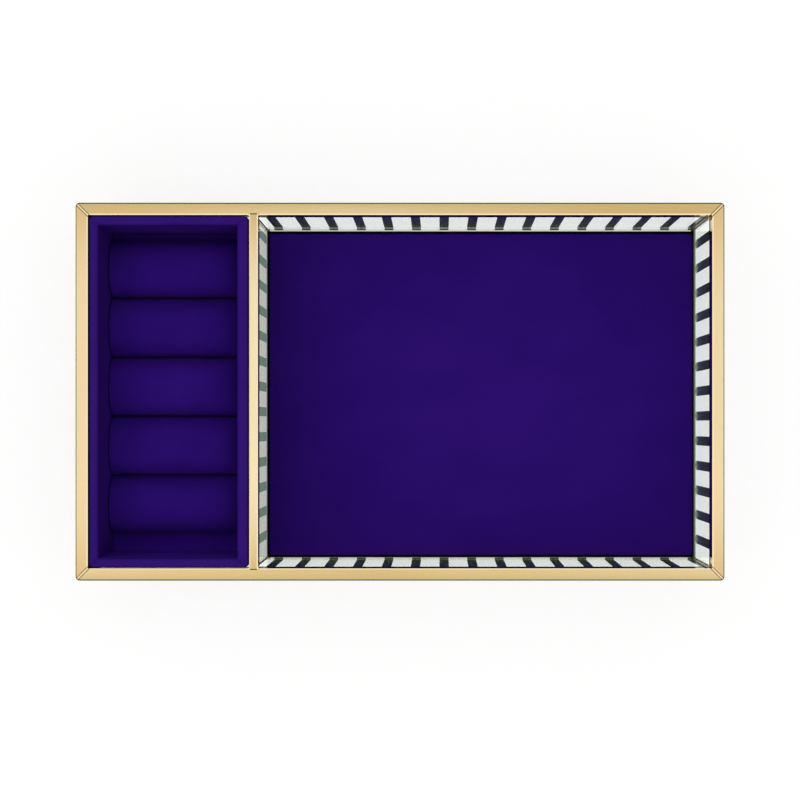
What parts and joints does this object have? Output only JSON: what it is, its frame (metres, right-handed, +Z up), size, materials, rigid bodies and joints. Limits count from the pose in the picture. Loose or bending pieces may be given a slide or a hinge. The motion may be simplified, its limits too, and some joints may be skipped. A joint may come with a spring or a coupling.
{
  "type": "glass jewelry box",
  "caption": "Open-top brass-framed box of V-cut glass with a brass-capped glass divider, a drop-in velvet floor pad and a lift-out velvet tray of ring rolls.",
  "frame": {"origin": "middle of the underside, on the surface that the box stands on", "axes": "+X along the length towards the wide compartment, +Y towards the back, +Z up"},
  "size_m": [0.26, 0.1514, 0.0505],
  "materials": {
    "brass": "polished pale brass with fine drawn lines",
    "clear_glass": "clear glass with a faint green edge",
    "purple_velvet": "short-pile velvet",
    "dark_board": "matt black fibreboard",
    "pale_board": "pale paper-faced board"
  },
  "bodies": {
    "case": {"rim_front": "brass", "rim_right": "brass", "rim_back": "brass", "rim_left": "brass", "rim_bead_front_left": "brass", "rim_bead_front_right": "brass", "rim_bead_back_left": "brass", "rim_bead_back_right": "brass", "corner_post_front_left": "brass", "corner_post_front_right": "brass", "corner_post_back_left": "brass", "corner_post_back_right": "brass", "sill_front": "brass", "sill_right": "brass", "sill_back": "brass", "sill_left": "brass", "base_panel": "dark_board", "glass_front": "clear_glass", "glass_right": "clear_glass", "glass_back": "clear_glass", "glass_left": "clear_glass", "glass_divider": "clear_glass", "divider_cap": "brass", "corner_seam_divider_front": "brass", "corner_seam_divider_back": "brass", "corner_seam_front_right": "brass", "corner_seam_back_right": "brass"},
    "ring_tray": {"tray_floor": "pale_board", "tray_wall_front": "purple_velvet", "tray_wall_right": "purple_velvet", "tray_wall_back": "purple_velvet", "tray_wall_left": "purple_velvet", "ring_roll_1": "purple_velvet", "ring_roll_2": "purple_velvet", "ring_roll_3": "purple_velvet", "ring_roll_4": "purple_velvet", "ring_roll_5": "purple_velvet"},
    "floor_pad": {"pad_board": "dark_board", "pad_velvet": "purple_velvet"}
  },
  "joints": [
    {"name": "tray_lift", "type": "slide", "parent": "case", "child": "ring_tray", "axis": [0, 0, 1], "range_m": [0, 0.06]},
    {"name": "pad_lift", "type": "slide", "parent": "case", "child": "floor_pad", "axis": [0, 0, 1], "range_m": [0, 0.06]}
  ]
}
